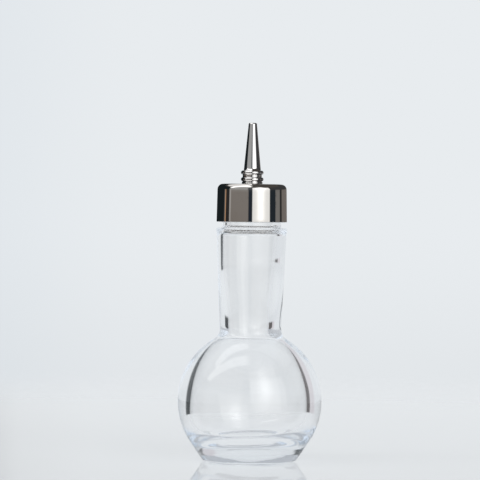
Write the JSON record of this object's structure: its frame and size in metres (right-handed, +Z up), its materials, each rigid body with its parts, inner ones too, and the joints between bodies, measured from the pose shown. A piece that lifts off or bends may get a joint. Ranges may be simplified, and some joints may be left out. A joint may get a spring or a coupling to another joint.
{
  "type": "bitters bottle",
  "caption": "Empty clear glass dasher bottle with a round bulb, thick base and tapered neck, closed by a polished metal screw cap with a tapered dropper spout.",
  "frame": {"origin": "on the bottle's axis, in the plane it stands on", "axes": "+Z up along the axis of bottle, cap and spout; the object is round, so +X and +Y are equal, and -Y is the side seen in the picture"},
  "size_m": [0.0624, 0.0624, 0.1467],
  "materials": {
    "glass": "clear, fire polished",
    "cap_metal": "polished",
    "spout_metal": "polished"
  },
  "bodies": {
    "root": {"glass_bottle": "glass", "screw_cap": "cap_metal", "dropper_spout": "spout_metal"}
  },
  "joints": []
}
